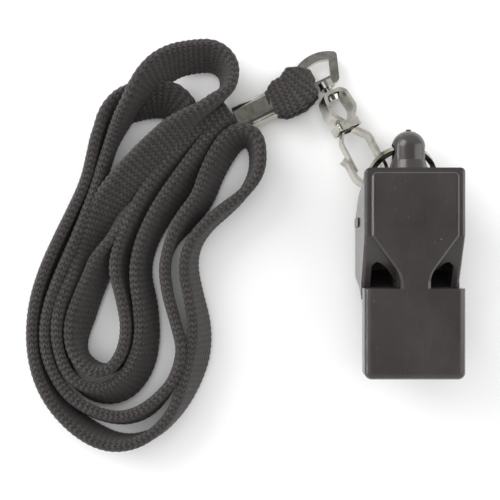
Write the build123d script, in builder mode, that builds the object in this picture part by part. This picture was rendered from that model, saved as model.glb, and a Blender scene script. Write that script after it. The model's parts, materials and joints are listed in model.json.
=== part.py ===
from build123d import *
import os
from math import cos, radians, sin, tan

# Pealess training whistle lying on its back, with a split ring, a swivel hook and a flat lanyard.
# Millimetres. Origin: middle of the flat that the whistle rests on. +Y runs from the mouthpiece to
# the ring, +X across the whistle, +Z up through its front face.
os.makedirs("parts", exist_ok=True)

# ---- whistle: driving dimensions ----------------------------------------------------------------
body_w = 22.6                # width
face_z = 19.0                # front face of the raised plate and of the mouthpiece
rim_z = 18.35                # body's shoulder beside the plate
mouth_y = -30.0              # end of the mouthpiece
shoulder_y = -9.6            # where the mouthpiece meets the windows
tail_y = 17.4                # end of the body
ramp_y = 2.2                 # where the side ramps start to fall
ramp_z = 12.2                # height of the ramps at the mouthpiece
mouth_z = 11.0               # back of the mouthpiece
rest_y0, rest_y1 = -6.5, 4.6 # flat of the belly
wall = 1.7                   # side walls
shell = 1.5                  # other walls
seat_gap = 0.06              # gap between pieces that are glued together
edge_r = 0.9                 # rounding of the body's long edges
tail_r = 1.3                 # its two corners beside the ring
lip_r = 1.6                  # rounding of the mouthpiece's end
chamber_x = 3.85             # half width of the middle chamber's pocket
divider_t = 1.1              # walls of the chamber divider
cover_y = 10.3               # where the rear cover meets the tail
window_x0, window_x1 = 3.4, 9.3      # side windows, inner and outer edge
rear_window_x = 2.55                 # half width of the rear window
bore_x, bore_z0, bore_z1 = 9.9, 12.3, 17.7   # inside of the mouthpiece
plate_x = 9.8                        # half width of the raised plate
neck_x = 3.4                         # half width of its neck
plate_bevel = 0.45
boss_r = 3.9                         # ring's boss on the tail
boss_z = 9.7
boss_end_y = 26.7
pin_y = 21.8                         # cross hole for the ring
pin_hole_r = 1.9
tab_y, tab_z = 5.5, 5.2              # middle of the rear cover's snap tab
tab_w, tab_h = 2.1, 6.0

# ---- split ring, hook and lanyard: driving dimensions --------------------------------------------
ring_r = 7.5                         # middle of the wire
ring_wire = 1.2                      # radial width of the wire
ring_turn = 0.8                      # thickness of one turn
ring_gap = 0.1                       # gap between the turns
ring_tilt = 34.5                     # lean of the ring, back and down under the body
ring_reach = 6.6                     # cross hole to the ring's centre
ring_x = -0.8
hook_top = Vector(-17.7, 36.6, 4.0)  # swivel hole in the hook's head
hook_end = Vector(-6.5, 14.0, 7.6)   # lowest point of the J
hook_roll = 18.0
strip_w = 2.4                        # steel strip of the hook
strip_t = 0.9
head_w = 4.4                         # wider strip of the head
spine_b = -3.6                       # spine's and gate's distance from the hook's middle line
gate_b = 3.7
tip_b = 4.6
gate_w, gate_t = 2.1, 0.5
gate_a = 10.4                        # where the gate bends
collar_a0, collar_a1 = 8.4, 10.2
stud_r = 1.1
eye_back = 5.9                       # swivel hole to the eye's centre
eye_l = 6.4                          # eye, between the middles of its end bars
eye_x0, eye_x1 = 4.6, 2.6            # half width between its side bars, far end and stud end
eye_bar = 2.1
eye_t = 1.4
crimp_l, crimp_w, crimp_h = 9.5, 6.4, 5.0
crimp_t = 0.5
crimp_mid = Vector(2.0, 18.2)        # middle of the crimp in the eye's frame, along and across
strap_w = 10.0                       # flat lanyard
strap_t = 2.6
coil_line_w = 3.7                    # room that one leaning turn takes on the floor
coil_z0, coil_z1 = 0.2, 10.4
coil_span = 9                        # runs of the route that are traced at a time

# Middle line of the lanyard, from the crimp round the heap and back to the crimp.
strap_route = [
    (-40.2, 29.8, 4.6), (-44.3, 26.2, 5.0), (-48.6, 21.0, 5.0), (-52.6, 15.5, 5.0), (-56.5, 10.2, 5.0),
    (-59.8, 4.7, 5.0), (-62.2, -1.0, 5.0), (-63.1, -7.0, 5.0), (-61.7, -14.1, 5.0), (-61.2, -21.3, 5.0),
    (-62.7, -28.4, 5.0), (-66.5, -33.7, 5.0), (-71.7, -35.6, 5.0), (-77.2, -33.7, 5.0), (-81.0, -28.9, 5.0),
    (-82.5, -22.5, 5.0), (-81.3, -15.6, 5.0), (-78.4, -9.4, 5.0), (-75.6, -3.9, 5.0), (-73.2, 1.9, 5.5),
    (-70.8, 7.4, 6.5), (-67.7, 12.1, 7.5), (-63.6, 16.7, 7.8), (-59.1, 21.2, 7.8), (-54.1, 25.7, 8.0),
    (-49.1, 30.3, 8.6), (-44.3, 34.1, 8.0), (-41.7, 38.1, 6.0), (-41.9, 42.4, 5.0), (-45.3, 45.3, 5.0),
    (-50.3, 46.0, 5.0), (-55.7, 44.8, 6.0), (-60.3, 41.5, 8.5), (-64.1, 36.7, 8.5), (-67.2, 31.0, 6.0),
    (-69.6, 25.2, 5.0), (-71.5, 19.3, 5.0), (-73.4, 12.8, 5.0), (-76.0, 5.9, 5.0), (-78.9, -1.0, 5.0),
    (-82.0, -8.2, 5.0), (-84.4, -15.8, 5.0), (-85.1, -23.7, 5.0), (-83.7, -30.1, 5.0), (-80.6, -35.4, 5.0),
    (-76.0, -38.7, 5.0), (-71.3, -40.6, 5.0), (-66.5, -41.1, 5.0), (-61.7, -39.4, 5.0), (-57.7, -35.6, 5.0),
    (-54.3, -30.6, 5.0), (-52.9, -24.9, 5.0), (-54.6, -18.2, 5.0), (-56.5, -11.7, 5.0), (-57.4, -4.8, 5.0),
    (-55.7, 1.1, 5.0), (-51.9, 6.4, 5.0), (-48.1, 11.2, 5.0), (-46.2, 16.7, 5.0), (-43.6, 21.9, 5.0),
    (-40.9, 25.4, 5.0), (-37.7, 26.9, 5.0), (-34.9, 25.2, 5.0), (-34.2, 21.0, 5.0), (-35.5, 16.7, 5.0),
    (-38.6, 12.1, 5.0), (-42.6, 8.8, 5.0), (-47.2, 5.0, 5.0), (-50.7, 0.2, 5.0), (-51.7, -5.3, 5.0),
    (-50.3, -12.0, 5.0), (-48.8, -18.9, 5.0), (-49.1, -25.6, 5.0), (-51.0, -32.0, 5.0), (-53.6, -38.0, 5.0),
    (-57.7, -43.2, 5.0), (-62.7, -46.3, 5.0), (-68.4, -47.0, 5.0), (-73.9, -45.1, 5.0), (-79.4, -41.1, 5.0),
    (-84.6, -35.6, 5.0), (-87.7, -28.7, 5.0), (-88.7, -21.3, 5.0), (-88.0, -13.2, 5.0), (-85.6, -5.3, 5.0),
    (-82.2, 1.4, 5.0), (-79.4, 8.1, 5.0), (-77.0, 14.5, 5.0), (-75.1, 21.0, 5.0), (-73.6, 27.4, 5.0),
    (-71.7, 33.1, 4.0), (-67.7, 36.7, 3.2), (-62.0, 38.1, 3.0), (-56.2, 38.4, 3.6), (-52.6, 35.7, 3.6),
    (-51.5, 31.4, 3.0), (-53.8, 26.9, 3.0), (-57.7, 22.1, 3.2), (-61.5, 16.9, 3.4), (-65.1, 11.6, 3.8),
    (-68.2, 5.9, 4.4), (-70.8, -0.5, 5.0), (-73.4, -7.0, 5.0), (-76.3, -14.1, 5.0), (-78.4, -21.0, 5.0),
    (-77.7, -26.5, 5.0), (-73.6, -29.9, 5.0), (-69.3, -29.2, 5.0), (-66.2, -24.9, 5.0), (-65.3, -18.9, 5.0),
    (-66.7, -12.2, 5.0), (-68.2, -5.8, 5.0), (-67.0, 0.0, 5.0), (-64.6, 5.2, 5.0), (-61.7, 10.2, 5.0),
    (-58.4, 15.0, 5.0), (-54.6, 19.5, 5.0), (-50.3, 23.8, 5.0), (-45.7, 27.9, 5.0), (-41.2, 31.0, 4.8),
]


def save(builder, name):
    builder.part.label = name
    export_step(builder.part, f"parts/{name}.step")


# ---- whistle body: front shell with mouthpiece, plate and ring boss -------------------------------
tail_curve = [(rest_y1, 0.0), (9.0, 2.9), (12.5, 7.1), (14.6, 13.6), (tail_y, 16.8)]
tail_tangents = [(1, 0), (1, 0.5)]
throat_curve = [(-12.4, mouth_z), (-10.7, 8.4), (-9.0, 3.4), (rest_y0, 0.0)]
throat_tangents = [(0.6, -0.8), (1, 0)]
inner_tail = [(cover_y, 5.2), (11.4, 7.4), (13.0, 12.6), (15.0, 15.8), (15.9, 16.9)]
ceiling_z = face_z - 2.1
slope = (rim_z - ramp_z) / (ramp_y - shoulder_y)

with BuildPart() as whistle_body:
    with BuildSketch(Plane.YZ):
        with BuildLine():
            Polyline(tail_curve[-1], (tail_y, rim_z), (ramp_y, rim_z), (shoulder_y, ramp_z),
                     (-12.4, ramp_z), throat_curve[0])
            Spline(*throat_curve, tangents=throat_tangents)
            Line((rest_y0, 0.0), (rest_y1, 0.0))
            Spline(*tail_curve, tangents=tail_tangents)
        make_face()
    extrude(amount=body_w / 2, both=True)
    long_edges = whistle_body.edges().filter_by(lambda e: abs(abs(e.center().X) - body_w / 2) < 0.01)
    fillet(long_edges.filter_by(lambda e: e.center().Y > shoulder_y or e.center().Z < 8), edge_r)
    with BuildSketch(Plane.XY) as plan:
        with Locations((0, tail_y - 50)):
            Rectangle(body_w, 100)
        fillet(plan.vertices().group_by(Axis.Y)[-1], tail_r)
    extrude(amount=face_z, mode=Mode.INTERSECT)
    # mouthpiece: rounded box, softer on its back
    with BuildSketch(Plane.XZ.offset(-shoulder_y)) as mouth_outline:
        with Locations((0, (face_z + mouth_z) / 2)):
            Rectangle(body_w, face_z - mouth_z)
        fillet(mouth_outline.vertices().group_by(Axis.Y)[-1], 1.7)
        fillet(mouth_outline.vertices().filter_by(lambda v: v.Y < mouth_z + 0.01), 3.0)
    extrude(amount=shoulder_y - mouth_y)
    fillet(whistle_body.faces().sort_by(Axis.Y)[0].edges(), lip_r)
    # raised plate, tapering to the neck between the windows
    with BuildSketch(Plane.XY.offset(ramp_z - 0.6)) as plate_outline:
        with BuildLine():
            Polyline((0, 16.4), (plate_x, 16.4), (plate_x, ramp_y), (4.5, -5.0))
            Spline((4.5, -5.0), (neck_x, -7.6), (neck_x, -11.0), tangents=[(-0.6, -0.8), (0, -1)])
            Line((neck_x, -11.0), (0, -11.0))
            mirror(about=Plane.YZ)
        make_face()
        fillet(plate_outline.vertices().filter_by(lambda v: v.Y > 16), 1.2)
    extrude(amount=face_z - ramp_z + 0.6)
    plate_top = whistle_body.faces().filter_by(Axis.Z).sort_by(Axis.Z)[-1]
    plate_edges = plate_top.edges().filter_by(lambda e: abs(e.center().X) > neck_x - 0.1)
    chamfer(plate_edges.filter_by(lambda e: e.center().Y > shoulder_y), plate_bevel)
    # shallow label panel
    with BuildSketch(Plane.XY.offset(face_z)):
        with Locations((0, 10.3)):
            RectangleRounded(18.4, 11.6, 0.5)
    extrude(amount=-0.15, mode=Mode.SUBTRACT)
    # side chambers: one cavity whose ceiling follows the ramps, open at the back
    with BuildSketch(Plane.YZ):
        with BuildLine():
            Polyline(inner_tail[-1], (ramp_y, ceiling_z),
                     (shoulder_y, ceiling_z - slope * (ramp_y - shoulder_y)), (shoulder_y, mouth_z),
                     (-14, mouth_z), (-14, -1), (cover_y, -1), inner_tail[0])
            Polyline(*inner_tail)
        make_face()
    extrude(amount=body_w / 2 - wall, both=True, mode=Mode.SUBTRACT)
    # pocket of the middle chamber
    with BuildSketch(Plane.YZ):
        with BuildLine():
            Polyline((13.0, 12.6), (15.0, 15.8), (15.9, ceiling_z), (shoulder_y, ceiling_z), (shoulder_y, 10),
                     (13.0, 10), close=True)
        make_face()
    extrude(amount=chamber_x, both=True, mode=Mode.SUBTRACT)
    # inside of the mouthpiece
    with BuildSketch(Plane.XZ.offset(-mouth_y)):
        with Locations((0, (bore_z0 + bore_z1) / 2)):
            RectangleRounded(2 * bore_x, bore_z1 - bore_z0, 0.6)
    extrude(amount=mouth_y - shoulder_y - 0.5, mode=Mode.SUBTRACT)
    # side windows
    with BuildSketch(Plane.XY.offset(8)) as windows:
        with BuildLine():
            Polyline((window_x1, shoulder_y), (window_x1, -4.6), (8.3, -3.7), (7.4, -3.9), (5.6, -5.3),
                     (4.1, -7.3), (window_x0 + 0.1, shoulder_y), close=True)
        make_face()
        mirror(about=Plane.YZ)
    extrude(amount=12, mode=Mode.SUBTRACT)
    # slots for the rear cover's snap tabs
    with Locations((0, tab_y, tab_z)):
        Box(body_w + 2, tab_w + 0.2, tab_h + 0.2, mode=Mode.SUBTRACT)
    # ring boss, flared at its root
    with BuildSketch(Plane.YZ):
        with BuildLine():
            Polyline((13.6, boss_z), (13.6, boss_z + 4.9), (17.0, boss_z + 4.6), (19.8, boss_z + boss_r),
                     (boss_end_y - boss_r, boss_z + boss_r))
            CenterArc((boss_end_y - boss_r, boss_z), boss_r, 0, 90)
            Line((boss_end_y, boss_z), (13.6, boss_z))
        make_face()
    revolve(axis=Axis((0, 0, boss_z), (0, 1, 0)))
    # mark of the mould's gate on the dome
    with BuildSketch(Plane.XZ.offset(-boss_end_y + 0.2)):
        with Locations((0, boss_z)):
            Circle(0.6)
    extrude(amount=-0.5)
    with Locations(Plane.YZ):
        with Locations((pin_y, boss_z)):
            Cylinder(pin_hole_r, 12, mode=Mode.SUBTRACT)
save(whistle_body, "whistle_body")

# ---- rear cover: belly between the side walls, with the rear window and two snap tabs -------------
cover_x = body_w / 2 - wall - seat_gap
with BuildPart() as rear_cover:
    with BuildSketch(Plane.YZ):
        with BuildLine():
            Line((rest_y1, 0), (rest_y0, 0))
            Spline(*throat_curve[::-1], tangents=[(-1, 0), (-0.6, 0.8)])
            Polyline(throat_curve[0], (-10.6, mouth_z), (-9.2, 8.4), (-7.6, 4.2), (-5.9, shell), (4.2, shell),
                     (7.6, 3.4), (10.4, 5.4), (12.0, 18.0), (tail_y, 18.0), tail_curve[-1])
            Spline(*tail_curve, tangents=tail_tangents)
        make_face()
    extrude(amount=cover_x, both=True)
    split(bisect_by=Plane.XZ.offset(-(cover_y - seat_gap)), keep=Keep.TOP)
    split(bisect_by=Plane.XY.offset(mouth_z - seat_gap), keep=Keep.BOTTOM)
    with BuildSketch(Plane.XY) as rear_window:
        with Locations((0, -9.4)):
            RectangleRounded(2 * rear_window_x, 5.2, 0.5)
    extrude(amount=12, mode=Mode.SUBTRACT)
    for side in (-1, 1):
        with BuildSketch(Plane.YZ.offset(side * (cover_x - 1.2))):
            with Locations((tab_y, tab_z)):
                RectangleRounded(tab_w, tab_h, 0.6)
        extrude(amount=side * (body_w / 2 + 0.32 - cover_x + 1.2))
save(rear_cover, "rear_cover")

# ---- chamber divider: channel that parts the middle chamber from the side ones --------------------
with BuildPart() as chamber_divider:
    with BuildSketch(Plane.YZ):
        with BuildLine():
            Polyline((shoulder_y + 0.1, ceiling_z - seat_gap), (14.9, ceiling_z - seat_gap), (12.7, 12.4),
                     (11.1, 7.6), (cover_y - 0.5, 6.3), (7.4, 3.8), (4.0, shell + seat_gap),
                     (-5.7, shell + seat_gap), (-7.4, 4.3), (-9.0, 8.6), (shoulder_y + 0.1, 10.4), close=True)
        make_face()
    extrude(amount=chamber_x - seat_gap, both=True)
    with BuildSketch(Plane.YZ):
        with BuildLine():
            Polyline((-11, ceiling_z - 1.1), (18, ceiling_z - 1.1), (18, -1), (-11, -1), close=True)
        make_face()
    extrude(amount=chamber_x - seat_gap - divider_t, both=True, mode=Mode.SUBTRACT)
save(chamber_divider, "chamber_divider")

# ---- windway insert: three windways inside the mouthpiece -----------------------------------------
insert_gap = 0.05
windway_h = 1.3
with BuildPart() as windway_insert:
    with BuildSketch(Plane.XZ.offset(-shoulder_y + 0.2)):
        with Locations((0, (bore_z0 + bore_z1) / 2)):
            RectangleRounded(2 * (bore_x - insert_gap), bore_z1 - bore_z0 - 2 * insert_gap, 0.5)
    extrude(amount=shoulder_y - mouth_y - 1.0)
    for x, z, w in ((-6.4, 14.3, 5.0), (6.4, 14.3, 5.0), (0, 13.6, 4.2)):
        with BuildSketch(Plane.XZ.offset(-mouth_y)):
            with Locations((x, z)):
                RectangleRounded(w, windway_h, 0.3)
        extrude(amount=mouth_y, mode=Mode.SUBTRACT)
save(windway_insert, "windway_insert")

# ---- split ring: two flat turns joined by a joggle ------------------------------------------------
lean = radians(ring_tilt)
ring_mid = Vector(ring_x, pin_y - ring_reach * cos(lean), boss_z - ring_reach * sin(lean))
ring_plane = Plane(origin=ring_mid, x_dir=(1, 0, 0), z_dir=(0, -sin(lean), cos(lean)))
turn_z = (ring_gap + ring_turn) / 2
with BuildPart() as split_ring:
    for level, cut_angle in ((turn_z, 292), (-turn_z, 318)):
        with BuildSketch(ring_plane.offset(level - ring_turn / 2)):
            Circle(ring_r + ring_wire / 2)
            Circle(ring_r - ring_wire / 2, mode=Mode.SUBTRACT)
            with PolarLocations(ring_r, 1, start_angle=cut_angle):
                Rectangle(3, 0.35, mode=Mode.SUBTRACT)
        extrude(amount=ring_turn)
    # joggle between the two ends
    with BuildSketch(ring_plane.offset(-turn_z)) as joggle:
        with BuildLine():
            outer_arc = CenterArc((0, 0), ring_r + ring_wire * 0.45, 297, 15)
            inner_arc = CenterArc((0, 0), ring_r - ring_wire * 0.45, 297, 15)
            Line(outer_arc @ 0, inner_arc @ 0)
            Line(outer_arc @ 1, inner_arc @ 1)
        make_face()
    extrude(amount=2 * turn_z)
save(split_ring, "split_ring")

# ---- swivel hook: bent strip, collar and spring gate ----------------------------------------------
along = (hook_end - hook_top).normalized()
level_side = along.cross(Vector(0, 0, 1)).normalized()
across = level_side * cos(radians(hook_roll)) + level_side.cross(along) * sin(radians(hook_roll))
hook_plane = Plane(origin=hook_top, x_dir=along, z_dir=along.cross(across))
hook_l = (hook_end - hook_top).length
bow_a = hook_l - strip_t / 2
with BuildPart() as hook_strip:
    # head: pear-shaped loop round the swivel stud
    with BuildSketch(hook_plane):
        with BuildLine() as head_line:
            FilletPolyline((9.4, 1.15), (8.2, 1.25), (5.6, 3.3), (0.5, 2.7), (0.45, -2.7), (5.6, -3.3),
                           (8.2, -1.25), (9.4, -1.15), radius=[0.8, 2.2, 1.7, 1.7, 2.2, 0.8])
        trace(line_width=strip_t)
    extrude(amount=head_w / 2, both=True)
    # spine, bow and tip
    with BuildSketch(hook_plane):
        with BuildLine() as hook_line:
            FilletPolyline((9.3, -1.15), (10.6, -1.2), (13.2, spine_b), (bow_a, spine_b), (bow_a - 1.0, tip_b),
                           (bow_a - 7.2, tip_b), (bow_a - 8.6, tip_b + 0.9), radius=[1.0, 1.6, 3.5, 3.5, 1.2])
        trace(line_width=strip_t)
    extrude(amount=strip_w / 2, both=True)
    # swivel hole through the top of the head
    with BuildSketch(Plane(origin=hook_top, x_dir=across, z_dir=along).offset(-1)):
        Circle(stud_r + 0.08)
    extrude(amount=3, mode=Mode.SUBTRACT)
save(hook_strip, "hook_strip")

with BuildPart() as hook_collar:
    with BuildSketch(Plane(origin=hook_top + along * collar_a0, x_dir=across, z_dir=along)) as band:
        with Locations((0.45, 0)):
            RectangleRounded(6.1, head_w + 1.3, 0.9)
            RectangleRounded(5.1, head_w + 0.3, 0.5, mode=Mode.SUBTRACT)
    extrude(amount=collar_a1 - collar_a0)
save(hook_collar, "hook_collar")

with BuildPart() as spring_gate:
    with BuildSketch(hook_plane):
        with BuildLine():
            FilletPolyline((8.9, 2.15), (gate_a, 2.2), (12.6, gate_b), (bow_a - 4.6, gate_b), radius=[1.6, 2.2])
        trace(line_width=gate_t)
    extrude(amount=gate_w / 2, both=True)
save(spring_gate, "spring_gate")

# ---- swivel eye and its stud ----------------------------------------------------------------------
eye_mid = hook_top - along * eye_back
eye_plane = Plane(origin=eye_mid, x_dir=along, z_dir=along.cross(level_side))
bow_y = 1.2 - eye_l / 2              # where the eye's bowed end starts
with BuildPart() as swivel_eye:
    with BuildSketch(eye_plane) as eye_outline:
        with BuildLine():
            Polyline((bow_y, -eye_x0), (eye_l / 2, -eye_x1), (eye_l / 2, eye_x1), (bow_y, eye_x0))
            ThreePointArc((bow_y, eye_x0), (-eye_l / 2 - 0.2, 0), (bow_y, -eye_x0))
        make_face()
        offset(amount=eye_bar / 2)
        offset(amount=-eye_bar, mode=Mode.SUBTRACT)
    extrude(amount=eye_t / 2, both=True)
    with BuildSketch(Plane(origin=eye_mid + along * (eye_l / 2 - 0.2), x_dir=level_side, z_dir=along)):
        Circle(1.9)
    extrude(amount=1.7)
    with BuildSketch(Plane(origin=eye_mid + along * (eye_l / 2), x_dir=level_side, z_dir=along)):
        Circle(1.0)
    extrude(amount=2.6, mode=Mode.SUBTRACT)
save(swivel_eye, "swivel_eye")

with BuildPart() as swivel_stud:
    with BuildSketch(Plane(origin=eye_mid + along * (eye_l / 2 + 0.02), x_dir=level_side, z_dir=along)):
        Circle(0.98)
    extrude(amount=1.6)
    with BuildSketch(Plane(origin=eye_mid + along * (eye_l / 2 + 1.56), x_dir=level_side, z_dir=along)):
        Circle(stud_r)
    extrude(amount=eye_back - eye_l / 2 - 1.56 + 1.25)
    with BuildSketch(Plane(origin=hook_top + along * 1.2, x_dir=level_side, z_dir=along)):
        Circle(1.9)
    extrude(amount=1.1, taper=18)
save(swivel_stud, "swivel_stud")

# ---- crimp and the folded end of the strap ---------------------------------------------------------
crimp_plane = Plane(origin=eye_plane.from_local_coords(Vector(crimp_mid.X, crimp_mid.Y, 0)),
                    x_dir=along, z_dir=level_side)
with BuildPart() as crimp_ferrule:
    with BuildSketch(crimp_plane.offset(-crimp_l / 2)):
        RectangleRounded(crimp_w, crimp_h, 1.3)
        RectangleRounded(crimp_w - 2 * crimp_t, crimp_h - 2 * crimp_t, 0.9, mode=Mode.SUBTRACT)
    extrude(amount=crimp_l)
save(crimp_ferrule, "crimp_ferrule")

# fold of the strap through the eye: two layers round its side bar, gathered into the crimp
with BuildPart() as strap_fold:
    with BuildSketch(Plane(origin=eye_mid + along * -1.6, x_dir=level_side, z_dir=along)) as fold_side:
        with Locations((4.3, 0)):
            RectangleRounded(7.4, 4.6, 1.4)
            RectangleRounded(5.0, 2.6, 0.8, mode=Mode.SUBTRACT)
    extrude(amount=3.4)
    with BuildSketch(eye_plane):
        with Locations((1.0, 10.0)):
            RectangleRounded(8.4, 6.4, 1.0)
    extrude(amount=1.9, both=True)
    with BuildSketch(crimp_plane.offset(-crimp_l / 2 - 0.6)):
        RectangleRounded(crimp_w - 2 * crimp_t - 0.3, crimp_h - 2 * crimp_t - 0.3, 0.7)
    extrude(amount=crimp_l / 2)
save(strap_fold, "strap_fold")

# ---- lanyard: the heaped strap, one closed solid of the room its turns take -------------------------
path = [Vector(*point) for point in strap_route]
floor_path = [Vector(point.X, point.Y) for point in path]


def corner_radius(before, corner, after):
    run_in, run_out = corner - before, after - corner
    return 0.45 * min(run_in.length, run_out.length) / tan(radians(run_in.get_angle(run_out) / 2))


corner_radii = [corner_radius(*floor_path[i - 1:i + 2]) for i in range(1, len(floor_path) - 1)]
strap_l = sum((b - a).length for a, b in zip(path, path[1:]))
with BuildPart() as lanyard_coil:
    with BuildSketch(Plane.XY.offset(coil_z0)):
        for first in range(0, len(floor_path) - 2, coil_span):
            last = min(first + coil_span + 1, len(floor_path) - 1)
            with BuildLine():
                FilletPolyline(*floor_path[first:last + 1], radius=corner_radii[first:last - 1])
            trace(line_width=coil_line_w)
    extrude(amount=coil_z1 - coil_z0)
    # room for the crimp, whose far face the strap's two ends meet
    with BuildSketch(crimp_plane.offset(-crimp_l / 2 - 1)):
        Rectangle(crimp_w + 0.4, 2 * coil_z1)
    extrude(amount=crimp_l + 1 + 0.02, mode=Mode.SUBTRACT)
save(lanyard_coil, "lanyard_coil")
print(f"strap along its runs {strap_l:.0f} mm, tightest corner {min(corner_radii):.1f} mm")
print(f"strap volume {strap_l * strap_w * strap_t / 1000:.1f} cm3, heap {lanyard_coil.part.volume / 1000:.1f} cm3")
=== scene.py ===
import json
from math import cos, pi, radians, sin

import bmesh
import bpy
from mathutils import Matrix, Vector


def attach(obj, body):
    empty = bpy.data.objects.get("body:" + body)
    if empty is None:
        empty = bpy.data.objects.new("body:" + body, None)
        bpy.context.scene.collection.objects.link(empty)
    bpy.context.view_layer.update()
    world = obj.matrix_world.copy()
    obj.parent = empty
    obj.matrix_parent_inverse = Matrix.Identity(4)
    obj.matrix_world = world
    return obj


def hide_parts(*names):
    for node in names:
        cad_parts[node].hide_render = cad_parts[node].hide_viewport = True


# Training whistle with split ring, swivel hook and flat knitted lanyard. Metres, in the CAD's frame:
# +Y from the mouthpiece to the ring, +X across the whistle, +Z up through its front face.
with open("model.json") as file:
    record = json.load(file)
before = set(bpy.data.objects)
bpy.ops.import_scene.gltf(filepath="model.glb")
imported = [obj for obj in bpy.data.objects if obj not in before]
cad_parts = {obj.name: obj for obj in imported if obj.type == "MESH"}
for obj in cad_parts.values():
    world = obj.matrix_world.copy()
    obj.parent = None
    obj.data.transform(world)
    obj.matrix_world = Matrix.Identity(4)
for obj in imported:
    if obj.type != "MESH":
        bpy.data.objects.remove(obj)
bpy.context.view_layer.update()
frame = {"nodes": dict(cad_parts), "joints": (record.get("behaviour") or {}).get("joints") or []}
nodes = frame["nodes"]

# ---- driving dimensions --------------------------------------------------------------------------------
strap_w = 0.0100             # flat knitted strap: width and thickness
strap_t = 0.0026
fold_t = 0.0018              # strap pressed flat in the fold round the eye
rib_pitch = 0.00135          # one stitch along the strap
rib_depth = 0.00024          # how far a stitch stands out of the edge
column_mm = 1.1              # one column of stitches round it, in millimetres
strap_step = 0.00034         # length of one ring of faces
edge_points = 7              # points round each rounded edge of the strap
floor_gap = 0.00025          # lowest edge of the strap above the floor
level_span = 12              # rings to each side over which the strap's height is evened out

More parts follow.
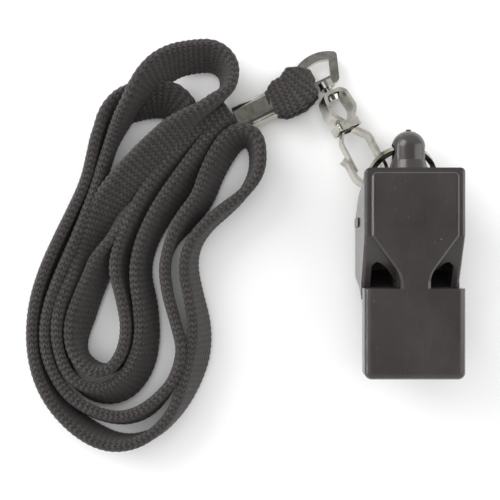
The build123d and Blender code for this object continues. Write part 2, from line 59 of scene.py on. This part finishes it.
# Middle line of the strap, from the crimp round the heap and back to the crimp: the CAD route in metres,
# with some points moved by up to 3.2 mm at the crossings and along the left.
strap_route = [
    (-0.0402, 0.0298, 0.0046), (-0.0443, 0.0262, 0.0050), (-0.0486, 0.0210, 0.0050), (-0.0526, 0.0155, 0.0050),
    (-0.0565, 0.0102, 0.0050), (-0.0598, 0.0047, 0.0050), (-0.0622, -0.0010, 0.0050), (-0.0631, -0.0070, 0.0050),
    (-0.0617, -0.0141, 0.0050), (-0.0612, -0.0213, 0.0050), (-0.0627, -0.0284, 0.0050), (-0.0665, -0.0337, 0.0050),
    (-0.0717, -0.0356, 0.0050), (-0.0772, -0.0337, 0.0050), (-0.0810, -0.0289, 0.0050), (-0.0825, -0.0225, 0.0050),
    (-0.0813, -0.0156, 0.0050), (-0.0784, -0.0094, 0.0050), (-0.0756, -0.0039, 0.0050), (-0.0732, 0.0019, 0.0055),
    (-0.0708, 0.0074, 0.0068), (-0.0677, 0.0121, 0.0084), (-0.0636, 0.0167, 0.0092), (-0.0591, 0.0212, 0.0094),
    (-0.0541, 0.0257, 0.0095), (-0.0491, 0.0303, 0.0094), (-0.0443, 0.0341, 0.0082), (-0.0417, 0.0381, 0.0060),
    (-0.0419, 0.0424, 0.0050), (-0.0453, 0.0453, 0.0050), (-0.0501, 0.0451, 0.0050), (-0.0550, 0.0438, 0.0060),
    (-0.0595, 0.0404, 0.0088), (-0.0633, 0.0358, 0.0088), (-0.0667, 0.0305, 0.0062), (-0.0696, 0.0252, 0.0050),
    (-0.0715, 0.0193, 0.0050), (-0.0734, 0.0128, 0.0050), (-0.0760, 0.0059, 0.0050), (-0.0789, -0.0010, 0.0050),
    (-0.0820, -0.0082, 0.0050), (-0.0844, -0.0158, 0.0050), (-0.0851, -0.0237, 0.0050), (-0.0837, -0.0301, 0.0050),
    (-0.0806, -0.0354, 0.0050), (-0.0760, -0.0387, 0.0050), (-0.0713, -0.0406, 0.0050), (-0.0665, -0.0411, 0.0050),
    (-0.0617, -0.0394, 0.0050), (-0.0577, -0.0356, 0.0050), (-0.0543, -0.0306, 0.0050), (-0.0529, -0.0249, 0.0050),
    (-0.0546, -0.0182, 0.0050), (-0.0565, -0.0117, 0.0050), (-0.0574, -0.0048, 0.0050), (-0.0557, 0.0011, 0.0050),
    (-0.0519, 0.0064, 0.0050), (-0.0481, 0.0112, 0.0050), (-0.0462, 0.0167, 0.0050), (-0.0436, 0.0219, 0.0050),
    (-0.0411, 0.0253, 0.0050), (-0.0382, 0.0266, 0.0050), (-0.0356, 0.0250, 0.0050), (-0.0349, 0.0210, 0.0050),
    (-0.0355, 0.0167, 0.0050), (-0.0386, 0.0121, 0.0050), (-0.0426, 0.0088, 0.0050), (-0.0472, 0.0050, 0.0050),
    (-0.0507, 0.0002, 0.0050), (-0.0517, -0.0053, 0.0050), (-0.0503, -0.0120, 0.0050), (-0.0488, -0.0189, 0.0050),
    (-0.0491, -0.0256, 0.0050), (-0.0510, -0.0320, 0.0050), (-0.0536, -0.0380, 0.0050), (-0.0577, -0.0432, 0.0050),
    (-0.0627, -0.0463, 0.0050), (-0.0684, -0.0470, 0.0050), (-0.0739, -0.0451, 0.0050), (-0.0794, -0.0411, 0.0050),
    (-0.0842, -0.0353, 0.0050), (-0.0870, -0.0286, 0.0050), (-0.0879, -0.0213, 0.0050), (-0.0873, -0.0133, 0.0050),
    (-0.0850, -0.0055, 0.0050), (-0.0819, 0.0013, 0.0050), (-0.0787, 0.0080, 0.0050), (-0.0758, 0.0143, 0.0050),
    (-0.0740, 0.0205, 0.0050), (-0.0726, 0.0260, 0.0050), (-0.0708, 0.0303, 0.0042), (-0.0669, 0.0336, 0.0034),
    (-0.0616, 0.0351, 0.0030), (-0.0565, 0.0352, 0.0034), (-0.0536, 0.0327, 0.0036), (-0.0527, 0.0292, 0.0030),
    (-0.0546, 0.0252, 0.0030), (-0.0579, 0.0213, 0.0032), (-0.0615, 0.0169, 0.0034), (-0.0651, 0.0116, 0.0038),
    (-0.0682, 0.0059, 0.0044), (-0.0708, -0.0005, 0.0050), (-0.0734, -0.0070, 0.0050), (-0.0763, -0.0141, 0.0050),
    (-0.0784, -0.0210, 0.0050), (-0.0777, -0.0265, 0.0050), (-0.0736, -0.0299, 0.0050), (-0.0693, -0.0292, 0.0050),
    (-0.0662, -0.0249, 0.0050), (-0.0653, -0.0189, 0.0050), (-0.0667, -0.0122, 0.0050), (-0.0682, -0.0058, 0.0050),
    (-0.0670, 0.0000, 0.0050), (-0.0646, 0.0052, 0.0050), (-0.0617, 0.0102, 0.0050), (-0.0584, 0.0150, 0.0050),
    (-0.0546, 0.0195, 0.0050), (-0.0503, 0.0238, 0.0050), (-0.0457, 0.0279, 0.0050), (-0.0412, 0.0310, 0.0048),
]
# How far the strap's upper edge leans to the left of its run, in degrees, at these points of the route.
strap_leans = [
    (0, -30), (3, -25), (7, -15), (9, -20), (12, -34), (15, -8), (18, 20), (20, 46), (22, 58),
    (25, 56), (27, 8), (28, -12), (30, -34), (32, -34), (34, -8), (36, 4), (39, 2), (43, -2),
    (46, 16), (49, 16), (52, -6), (56, -4), (58, 20), (61, 26), (63, 12), (66, -6), (69, -14),
    (72, -24), (75, -8), (78, 8), (82, 3), (86, 0), (89, -3), (91, 4), (93, 52), (98, 60),
    (100, 24), (102, -22), (104, -26), (106, -2), (108, 8), (110, 6), (112, 12), (115, 24), (119, 30),
]


def clear_material(name):
    material = bpy.data.materials.new(name)
    material.use_nodes = True
    return material, material.node_tree, material.node_tree.nodes["Principled BSDF"]


def add_node(tree, kind, **settings):
    node = tree.nodes.new(kind)
    for key, value in settings.items():
        if key.startswith("in_"):
            node.inputs[key[3:].replace("_", " ")].default_value = value
        else:
            setattr(node, key, value)
    return node


def math(tree, operation, a, b=None, c=None):
    node = tree.nodes.new("ShaderNodeMath")
    node.operation = operation
    for socket, value in zip(node.inputs, (a, b, c)):
        if value is None:
            continue
        if isinstance(value, (int, float)):
            socket.default_value = value
        else:
            tree.links.new(value, socket)
    return node.outputs[0]


def noise(tree, scale, detail=3.0, roughness=0.5, stretch=(1, 1, 1)):
    """Noise in object space, in features per metre; its factor is centred on 0.5."""
    place = add_node(tree, "ShaderNodeTexCoord")
    mapping = add_node(tree, "ShaderNodeMapping")
    mapping.inputs["Scale"].default_value = stretch
    tree.links.new(place.outputs["Object"], mapping.inputs["Vector"])
    texture = add_node(tree, "ShaderNodeTexNoise", in_Scale=scale, in_Detail=detail, in_Roughness=roughness)
    tree.links.new(mapping.outputs["Vector"], texture.inputs["Vector"])
    return texture.outputs["Fac"]


def ramp(tree, factor, stops):
    node = tree.nodes.new("ShaderNodeValToRGB")
    elements = node.color_ramp.elements
    while len(elements) < len(stops):
        elements.new(0.5)
    for element, (place, colour) in zip(elements, stops):
        element.position = place
        element.color = (*colour, 1) if isinstance(colour, tuple) else (colour, colour, colour, 1)
    tree.links.new(factor, node.inputs["Fac"])
    return node.outputs["Color"]


def bump(tree, shader, height, distance, strength=1.0, under=None):
    node = add_node(tree, "ShaderNodeBump", in_Strength=strength, in_Distance=distance)
    tree.links.new(height, node.inputs["Height"])
    if under is not None:
        tree.links.new(under, node.inputs["Normal"])
    tree.links.new(node.outputs["Normal"], shader.inputs["Normal"])
    return node.outputs["Normal"]


# ---- materials --------------------------------------------------------------------------------------------
def moulded_plastic(name, colour, roughness=0.3):
    """Dark moulded plastic: faint flow clouding, fine orange peel, light scuffs and a few pale nicks."""
    material, tree, shader = clear_material(name)
    cloud = noise(tree, 90, 4)
    dark, light = (tuple(c * k for c in colour) for k in (0.84, 1.18))
    nicks = math(tree, "MULTIPLY", ramp(tree, noise(tree, 1350, 3, 0.55), [(0.69, 0.0), (0.75, 1.0)]),
                 ramp(tree, noise(tree, 130, 2), [(0.50, 0.0), (0.66, 1.0)]))
    paint = add_node(tree, "ShaderNodeMix", data_type="RGBA")
    tree.links.new(nicks, paint.inputs["Factor"])
    tree.links.new(ramp(tree, cloud, [(0.35, dark), (0.65, light)]), paint.inputs["A"])
    paint.inputs["B"].default_value = (0.34, 0.33, 0.31, 1)
    tree.links.new(paint.outputs["Result"], shader.inputs["Base Color"])
    scuffs = noise(tree, 420, 6, 0.65, (1, 0.16, 1))
    tree.links.new(ramp(tree, scuffs, [(0.48, roughness), (0.62, roughness + 0.05), (0.74, roughness + 0.14)]),
                   shader.inputs["Roughness"])
    peel = noise(tree, 1500, 2)
    under = bump(tree, shader, peel, 0.00002, 0.22)
    bump(tree, shader, scuffs, 0.00002, 0.1, under)
    shader.inputs["Specular IOR Level"].default_value = 0.5
    shader.inputs["Coat Weight"].default_value = 0.25
    shader.inputs["Coat Roughness"].default_value = 0.12
    return material


def plated_metal(name, colour, shadow, roughness=0.14):
    """Nickel plate: drawn lines along the strip, cloudy tarnish spread at random, fine pits and scratches."""
    material, tree, shader = clear_material(name)
    shader.inputs["Metallic"].default_value = 1.0
    cloud = noise(tree, 420, 5, 0.6)
    tree.links.new(ramp(tree, cloud, [(0.34, shadow), (0.52, colour), (0.8, tuple(c * 1.08 for c in colour))]),
                   shader.inputs["Base Color"])
    lines = noise(tree, 1600, 3, 0.6, (1, 0.12, 1))
    tree.links.new(ramp(tree, lines, [(0.38, roughness * 0.7), (0.62, roughness * 1.7)]),
                   shader.inputs["Roughness"])
    under = bump(tree, shader, lines, 0.00003, 0.25)
    pits = noise(tree, 2600, 2, 0.5)
    bump(tree, shader, ramp(tree, pits, [(0.24, 0.0), (0.34, 1.0)]), 0.00002, 0.3, under)
    return material


def knitted_strap(name):
    """Flat knitted polyester: columns of V stitches round the strap, from its own weave coordinates in mm."""
    material, tree, shader = clear_material(name)
    weave = add_node(tree, "ShaderNodeUVMap", uv_map="weave")
    split = add_node(tree, "ShaderNodeSeparateXYZ")
    tree.links.new(weave.outputs["UV"], split.inputs[0])
    run, girth = split.outputs[0], split.outputs[1]
    wander = math(tree, "MULTIPLY", math(tree, "SUBTRACT", noise(tree, 260, 2), 0.5), 0.5)
    column = math(tree, "FRACT", math(tree, "MULTIPLY", girth, 1 / column_mm))
    arm = math(tree, "ABSOLUTE", math(tree, "SUBTRACT", math(tree, "MULTIPLY", column, 2), 1))
    phase = math(tree, "ADD", math(tree, "MULTIPLY", run, 1 / (rib_pitch * 1000)),
                 math(tree, "ADD", math(tree, "MULTIPLY", arm, 0.62), wander))
    wave = math(tree, "ABSOLUTE", math(tree, "SINE", math(tree, "MULTIPLY", phase, pi)))
    furrow = math(tree, "POWER", arm, 7)
    spine = math(tree, "POWER", math(tree, "SUBTRACT", 1, arm), 9)
    height = math(tree, "SUBTRACT", math(tree, "POWER", wave, 0.6),
                  math(tree, "ADD", math(tree, "MULTIPLY", furrow, 0.7), math(tree, "MULTIPLY", spine, 0.35)))
    yarn = noise(tree, 5200, 2, 0.6)
    height_fuzz = math(tree, "ADD", height, math(tree, "MULTIPLY", yarn, 0.35))
    mottle = math(tree, "MULTIPLY", noise(tree, 900, 3), 0.34)
    # colour follows the stitch relief: painted shade in the furrows and down each column's spine, painted
    # highlight on the stitch crests, plus random mottle
    relief_shaded_tone = math(tree, "ADD", math(tree, "MULTIPLY", height, 0.72), mottle)
    colour = ramp(tree, relief_shaded_tone, [(0.05, (0.006, 0.005, 0.005)), (0.45, (0.021, 0.018, 0.018)),
                               (0.75, (0.038, 0.033, 0.032)), (1.0, (0.100, 0.090, 0.086))])
    fade = add_node(tree, "ShaderNodeMix", data_type="RGBA", blend_type="MULTIPLY")
    fade.inputs["Factor"].default_value = 0.5
    tree.links.new(colour, fade.inputs["A"])
    tree.links.new(ramp(tree, noise(tree, 70, 3), [(0.3, (0.8, 0.78, 0.8)), (0.7, (1.0, 0.98, 0.96))]),
                   fade.inputs["B"])
    tree.links.new(fade.outputs["Result"], shader.inputs["Base Color"])
    bump(tree, shader, height_fuzz, 0.00026, 0.9)
    shader.inputs["Roughness"].default_value = 0.78
    shader.inputs["Sheen Weight"].default_value = 0.13
    shader.inputs["Sheen Roughness"].default_value = 0.45
    shader.inputs["Sheen Tint"].default_value = (0.9, 0.86, 0.84, 1)
    return material


body_plastic = moulded_plastic("body_plastic", (0.040, 0.0345, 0.0338), 0.24)
cover_plastic = moulded_plastic("cover_plastic", (0.036, 0.031, 0.0305), 0.3)
ring_steel = plated_metal("ring_steel", (0.44, 0.42, 0.35), (0.17, 0.16, 0.12), 0.13)
hook_nickel = plated_metal("hook_nickel", (0.60, 0.585, 0.53), (0.40, 0.385, 0.34), 0.12)
crimp_steel = plated_metal("crimp_steel", (0.56, 0.55, 0.49), (0.40, 0.39, 0.33), 0.10)
strap_knit = knitted_strap("strap_knit")

finishes = {
    "whistle_body": body_plastic, "rear_cover": cover_plastic, "chamber_divider": cover_plastic,
    "windway_insert": cover_plastic, "split_ring": ring_steel, "hook_strip": hook_nickel,
    "hook_collar": hook_nickel, "spring_gate": hook_nickel, "swivel_eye": hook_nickel,
    "swivel_stud": hook_nickel, "crimp_ferrule": crimp_steel,
}
for name, material in finishes.items():
    mesh = nodes[name].data
    mesh.materials.clear()
    mesh.materials.append(material)


# ---- strap ------------------------------------------------------------------------------------------------
def smooth_line(name, points, step):
    """Points at even steps along the NURBS spline that has these control points."""
    curve = bpy.data.curves.new(name, "CURVE")
    curve.dimensions = "3D"
    spline = curve.splines.new("NURBS")
    spline.points.add(len(points) - 1)
    for point, place in zip(spline.points, points):
        point.co = (*place, 1)
    spline.order_u = 3
    spline.use_endpoint_u = True
    spline.resolution_u = 24
    guide = bpy.data.objects.new(name, curve)
    bpy.context.scene.collection.objects.link(guide)
    bpy.context.view_layer.update()
    line = bpy.data.meshes.new_from_object(guide)
    fine = [vertex.co.copy() for vertex in line.vertices]
    bpy.data.objects.remove(guide)
    bpy.data.curves.remove(curve)
    bpy.data.meshes.remove(line)
    runs = [0.0]
    for before, after in zip(fine, fine[1:]):
        runs.append(runs[-1] + (after - before).length)
    count = round(runs[-1] / step)
    places = []
    i = 0
    for k in range(count + 1):
        goal = runs[-1] * k / count
        while i < len(runs) - 2 and runs[i + 1] < goal:
            i += 1
        places.append(fine[i].lerp(fine[i + 1], (goal - runs[i]) / max(runs[i + 1] - runs[i], 1e-9)))
    return places


def eased(keys, at):
    """Value between (place, value) keys, turning smoothly at each."""
    if at <= keys[0][0]:
        return keys[0][1]
    for (x0, y0), (x1, y1) in zip(keys, keys[1:]):
        if at <= x1:
            k = (at - x0) / (x1 - x0)
            return y0 + (y1 - y0) * k * k * (3 - 2 * k)
    return keys[-1][1]


def ribbon(name, line, widths, wides, thickness, material):
    """Flat knitted strap along a line: its width and the direction of its width at each point."""
    shape = bmesh.new()
    weave = shape.loops.layers.uv.new("weave")
    rings = []
    run = 0.0
    for i, place in enumerate(line):
        ahead = (line[min(i + 1, len(line) - 1)] - line[max(i - 1, 0)]).normalized()
        wide = (wides[i] - ahead * wides[i].dot(ahead)).normalized()
        thick = ahead.cross(wide)
        if i:
            run += (place - line[i - 1]).length
        radius = thickness / 2
        flat = widths[i] / 2 - radius
        ring = []
        girth = 0.0
        last = None
        for side in (1, -1):
            for j in range(edge_points):
                turn = pi * j / (edge_points - 1)
                stitch = abs(sin(pi * (run / rib_pitch + 0.25 * side)))
                proud = rib_depth * (stitch - 0.5) * (0.4 + 0.6 * sin(turn))
                spot = (wide * side * (flat + (radius + proud) * sin(turn))
                        + thick * side * (radius + proud) * cos(turn))
                flat_mm = Vector((side * (flat + radius * sin(turn)), side * radius * cos(turn)))
                if last is not None:
                    girth += (flat_mm - last).length
                last = flat_mm
                ring.append((shape.verts.new(place + spot), girth * 1000))
            for across in (0.6, 0.2, -0.2, -0.6):
                stitch = abs(sin(pi * (run / rib_pitch + 0.3 * across)))
                spot = wide * side * flat * across - thick * side * (radius + rib_depth * 0.5 * (stitch - 0.5))
                flat_mm = Vector((side * flat * across, -side * radius))
                girth += (flat_mm - last).length
                last = flat_mm
                ring.append((shape.verts.new(place + spot), girth * 1000))
        whole = (girth + (last - Vector((flat, radius))).length) * 1000
        rings.append((ring, run * 1000, whole))
    for (ring_a, run_a, whole_a), (ring_b, run_b, whole_b) in zip(rings, rings[1:]):
        count = len(ring_a)
        for j in range(count):
            k = (j + 1) % count
            face = shape.faces.new((ring_a[j][0], ring_a[k][0], ring_b[k][0], ring_b[j][0]))
            face.smooth = True
            girths = (ring_a[j][1], ring_a[k][1] if k else whole_a,
                      ring_b[k][1] if k else whole_b, ring_b[j][1])
            for loop, along, around in zip(face.loops, (run_a, run_a, run_b, run_b), girths):
                loop[weave].uv = (along, around)
    for ring, along, _ in (rings[0], rings[-1]):
        cap = shape.faces.new([vertex for vertex, _ in (ring if along else reversed(ring))])
        for loop in cap.loops:
            loop[weave].uv = (along, 0.0)
    bmesh.ops.recalc_face_normals(shape, faces=shape.faces)
    mesh = bpy.data.meshes.new(name)
    shape.to_mesh(mesh)
    shape.free()
    mesh.materials.append(material)
    piece = bpy.data.objects.new(name, mesh)
    bpy.context.scene.collection.objects.link(piece)
    return piece


strap_line = smooth_line("strap_guide", strap_route, strap_step)
last_point = len(strap_route) - 1
strap_wides = []
strap_heights = []
for i, place in enumerate(strap_line):
    ahead = strap_line[min(i + 1, len(strap_line) - 1)] - strap_line[max(i - 1, 0)]
    left = Vector((-ahead.y, ahead.x, 0)).normalized()
    lean = radians(eased(strap_leans, last_point * i / (len(strap_line) - 1)))
    strap_wides.append(Vector((0, 0, 1)) * cos(lean) + left * sin(lean))
    half_height = (strap_w - strap_t) / 2 * cos(lean) + strap_t / 2 + rib_depth
    strap_heights.append(max(place.z, half_height + floor_gap))
for i, place in enumerate(strap_line):
    nearby = strap_heights[max(i - level_span, 0):i + level_span + 1]
    place.z = sum(nearby) / len(nearby)
strap_widths = [strap_w] * len(strap_line)
strap = ribbon("lanyard_strap", strap_line, strap_widths, strap_wides, strap_t, strap_knit)
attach(strap, "lanyard")
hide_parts("lanyard_coil")

# folded end: through the eye, round its side bar and back into the crimp
joints = {joint["name"]: joint for joint in frame["joints"]}
bar = Vector(joints["lanyard_swing"]["pos_m"])
along = Vector(joints["swivel"]["axis"]).normalized()
level = along.cross(Vector((0, 0, 1))).normalized()
upright = along.cross(level)
if upright.z < 0:
    upright = -upright
fold_side = [(0.0145, 0.0012), (0.0105, 0.0014), (0.0062, 0.0021), (0.0020, 0.0026), (-0.0016, 0.0023),
             (-0.0021, 0.0003), (-0.0016, -0.0011), (0.0020, -0.0014), (0.0062, -0.0012), (0.0105, -0.0011),
             (0.0145, -0.0012)]
fold_shift = [(0.0, 0.0020), (0.3, 0.0022), (0.47, 0.0002), (0.53, 0.0002), (0.7, 0.0022), (1.0, 0.0020)]
fold_width = [(0.0, 0.0050), (0.12, 0.0056), (0.23, 0.0094), (0.40, 0.0100), (0.47, 0.0036), (0.53, 0.0036),
              (0.60, 0.0100), (0.77, 0.0094), (0.88, 0.0056), (1.0, 0.0050)]
fold_points = [bar + level * out + upright * up for out, up in fold_side]
fold_line = smooth_line("fold_guide", [tuple(point) for point in fold_points], strap_step)
fold_count = len(fold_line) - 1
fold_line = [place + along * eased(fold_shift, i / fold_count) for i, place in enumerate(fold_line)]
fold_widths = [eased(fold_width, i / fold_count) for i in range(fold_count + 1)]
fold = ribbon("lanyard_fold", fold_line, fold_widths, [along] * len(fold_line), fold_t, strap_knit)
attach(fold, "lanyard")
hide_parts("strap_fold")

# ---- floor, light and camera ------------------------------------------------------------------------------
floor_half = 3.0
floor_corners = [(x * floor_half, y * floor_half, 0) for x, y in ((-1, -1), (1, -1), (1, 1), (-1, 1))]
floor_mesh = bpy.data.meshes.new("floor")
floor_mesh.from_pydata(floor_corners, [], [(0, 1, 2, 3)])
floor = bpy.data.objects.new("floor", floor_mesh)
bpy.context.scene.collection.objects.link(floor)
paper, _, paper_shader = clear_material("floor_paper")
paper_shader.inputs["Base Color"].default_value = (0.93, 0.93, 0.93, 1)
paper_shader.inputs["Roughness"].default_value = 0.9
paper_shader.inputs["Specular IOR Level"].default_value = 0.1
floor_mesh.materials.append(paper)

# soft room light: pale walls under a dark ceiling, so that flat metal seen from above reads dull
world = bpy.data.worlds.new("studio")
world.use_nodes = True
sky = world.node_tree
sky_way = add_node(sky, "ShaderNodeTexCoord")
sky_axes = add_node(sky, "ShaderNodeSeparateXYZ")
sky.links.new(sky_way.outputs["Generated"], sky_axes.inputs[0])
sky.links.new(ramp(sky, sky_axes.outputs[2], [(0.0, 0.9), (0.55, 0.95), (0.80, 0.8), (0.93, 0.2), (1.0, 0.12)]),
              sky.nodes["Background"].inputs["Color"])
sky.nodes["Background"].inputs["Strength"].default_value = 0.75
bpy.context.scene.world = world


def area_light(name, place, target, size, power, colour=(1, 1, 1)):
    data = bpy.data.lights.new(name, "AREA")
    data.shape = "RECTANGLE"
    data.size, data.size_y = size
    data.energy = power
    data.color = colour
    light = bpy.data.objects.new(name, data)
    light.location = place
    light.rotation_euler = (Vector(target) - Vector(place)).to_track_quat("-Z", "Y").to_euler()
    bpy.context.scene.collection.objects.link(light)
    return light


scene_mid = Vector((-0.0369, -0.0010, 0.0))     # point of the floor below the camera
camera_height = 0.210
camera_lens = 61.9
plate_mid = (0.0, 0.0, 0.018)
area_light("key_softbox", scene_mid + Vector((-0.42, 0.34, 0.36)), scene_mid, (0.42, 0.42), 2.4)
ceiling = area_light("ceiling_fill", scene_mid + Vector((-0.04, 0.05, 0.60)), scene_mid, (0.6, 0.6), 1.9)
ceiling.visible_glossy = False                  # it fills the loops but leaves flat metal dull
area_light("side_softbox", scene_mid + Vector((0.45, 0.05, 0.22)), scene_mid, (0.25, 0.5), 0.6)

area_light("edge_strip", scene_mid + Vector((-0.42, 0.0, 0.05)), plate_mid, (0.5, 0.03), 0.7)

camera_data = bpy.data.cameras.new("camera")
camera_data.sensor_width = 36
camera_data.lens = camera_lens
camera_data.clip_start = 0.01
camera = bpy.data.objects.new("camera", camera_data)
camera.matrix_world = Matrix.Translation(scene_mid + Vector((0, 0, camera_height)))
bpy.context.scene.collection.objects.link(camera)
bpy.context.scene.camera = camera
bpy.context.scene.view_settings.view_transform = "Standard"
